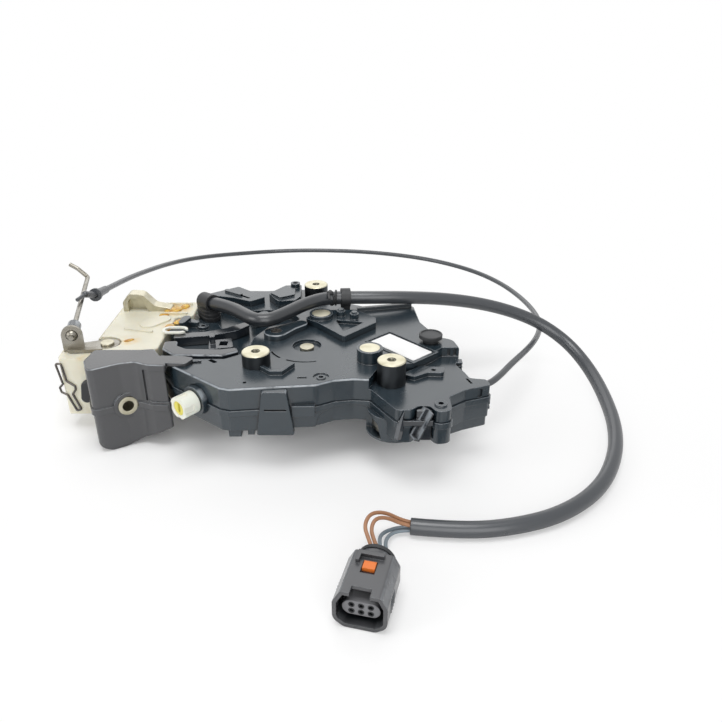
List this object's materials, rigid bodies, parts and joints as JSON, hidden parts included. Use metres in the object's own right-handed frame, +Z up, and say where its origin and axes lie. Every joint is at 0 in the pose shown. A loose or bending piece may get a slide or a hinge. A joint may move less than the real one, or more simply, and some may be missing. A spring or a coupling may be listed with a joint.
{
  "type": "door latch actuator",
  "caption": "Vehicle door latch with a flat power-closing module, fork and pawl, release lever and rod, pull cable, and a sleeved harness ending in a sealed plug.",
  "frame": {"origin": "under the middle of the module and latch, without the cords, at the surface that they lie on", "axes": "+X from the latch to the motor end, along the longest side; +Y from the front wall to the rear; +Z up from the surface"},
  "size_m": [0.3716, 0.5032, 0.0679],
  "materials": {
    "black_nylon": "fine moulded satin",
    "black_gloss": "smooth semi-gloss",
    "cream_nylon": "translucent nylon, greased",
    "white_nylon": "plain nylon",
    "yellow_plastic": "moulded",
    "orange_plastic": "moulded",
    "grey_plastic": "moulded",
    "gear_plastic": "greased acetal",
    "rubber": "matte",
    "zinc_steel": "yellow-passivated zinc",
    "bright_steel": "plain",
    "dark_steel": "oiled spring steel",
    "brass": "turned",
    "label": "printed film, left blank",
    "sleeve": "woven sleeve",
    "wire_brown": "insulation",
    "wire_grey": "insulation"
  },
  "bodies": {
    "module": {"brown_wire_a": "wire_brown", "brown_wire_b": "wire_brown", "bumper": "rubber", "cable_ferrule": "black_nylon", "cable_gland": "black_nylon", "closing_motor": "bright_steel", "connector_insert": "grey_plastic", "connector_seal": "rubber", "connector_shell": "black_nylon", "coupler_collar": "black_nylon", "cover_bush": "zinc_steel", "cover_screw": "zinc_steel", "front_lever": "black_gloss", "grey_wire_a": "wire_grey", "grey_wire_b": "wire_grey", "guide_cover": "black_nylon", "harness_boot": "rubber", "harness_clamp": "black_nylon", "harness_sleeve": "sleeve", "label": "label", "latch_body": "cream_nylon", "latch_cover": "black_gloss", "latch_ear": "zinc_steel", "latch_pins": "zinc_steel", "latch_springs": "dark_steel", "lever_axle": "brass", "lever_bracket": "black_gloss", "lever_plate": "black_nylon", "lock_motor": "bright_steel", "lower_housing": "black_nylon", "main_axle": "zinc_steel", "microswitches": "black_nylon", "middle_lever": "black_gloss", "oval_clip": "white_nylon", "platform": "black_nylon", "plug_holder": "black_gloss", "pull_cable": "black_nylon", "rear_module": "black_nylon", "reduction_axle": "brass", "release_pin": "zinc_steel", "rubber_cap": "rubber", "small_lever": "black_nylon", "striker_plate": "zinc_steel", "switch_module": "black_nylon", "threaded_bosses": "brass", "upper_housing": "black_nylon", "wire_clip": "dark_steel"},
    "fork": {"fork": "bright_steel"},
    "pawl": {"pawl": "bright_steel"},
    "release_lever": {"release_lever": "bright_steel"},
    "lock_rod": {"lock_rod": "bright_steel", "rod_ball": "white_nylon", "rod_clip": "black_nylon"},
    "key_coupler": {"key_coupler": "white_nylon", "coupler_core": "yellow_plastic"},
    "connector_lock": {"connector_lock": "orange_plastic"},
    "main_gear": {"main_gear": "gear_plastic"},
    "reduction_gear": {"reduction_gear": "gear_plastic"},
    "motor_pinion": {"motor_pinion": "brass"},
    "closing_lever": {"closing_lever": "zinc_steel"}
  },
  "joints": [
    {"name": "fork_turn", "type": "hinge", "parent": "module", "child": "fork", "pos_m": [-0.08787, 0.00716, 0.028], "axis": [1, 0, 0], "range_deg": [0, 50], "stiffness_Nm_per_rad": 0.02},
    {"name": "pawl_turn", "type": "hinge", "parent": "module", "child": "pawl", "pos_m": [-0.08787, 0.04316, 0.035], "axis": [1, 0, 0], "range_deg": [0, 8]},
    {"name": "release_turn", "type": "hinge", "parent": "module", "child": "release_lever", "pos_m": [-0.08487, -0.01064, 0.049], "axis": [0, 0, 1], "range_deg": [-16, 0]},
    {"name": "rod_turn", "type": "hinge", "parent": "release_lever", "child": "lock_rod", "pos_m": [-0.10331, -0.0152, 0.058], "axis": [0, 0, 1], "range_deg": [0, 16]},
    {"name": "key_turn", "type": "hinge", "parent": "module", "child": "key_coupler", "pos_m": [-0.02127, -0.05644, 0.0385], "axis": [-0.6401, -0.7683, 0], "range_deg": [-90, 90]},
    {"name": "plug_lock_slide", "type": "slide", "parent": "module", "child": "connector_lock", "axis": [-0.2504, -0.9681, 0], "range_m": [0, 0.002]},
    {"name": "main_turn", "type": "hinge", "parent": "module", "child": "main_gear", "pos_m": [0.03613, -0.01684, 0.032], "axis": [0, 0, 1], "range_deg": [0, 40]},
    {"name": "reduction_turn", "type": "hinge", "parent": "module", "child": "reduction_gear", "pos_m": [0.07333, -0.03547, 0.032], "axis": [0, 0, 1], "range_deg": [-192, 0]},
    {"name": "motor_turn", "type": "hinge", "parent": "module", "child": "motor_pinion", "pos_m": [0.08664, -0.05919, 0.032], "axis": [0, 0, 1], "range_deg": [0, 532]},
    {"name": "closing_turn", "type": "hinge", "parent": "module", "child": "closing_lever", "pos_m": [0.04311, 0.01684, 0.037], "axis": [0, 0, 1], "range_deg": [-20, 0]}
  ],
  "couplings": [
    {"joint": "rod_turn", "follows": "release_turn", "ratio": -1},
    {"joint": "reduction_turn", "follows": "main_turn", "ratio": -4.7778},
    {"joint": "motor_turn", "follows": "main_turn", "ratio": 13.272},
    {"joint": "closing_turn", "follows": "main_turn", "ratio": -0.48276}
  ]
}
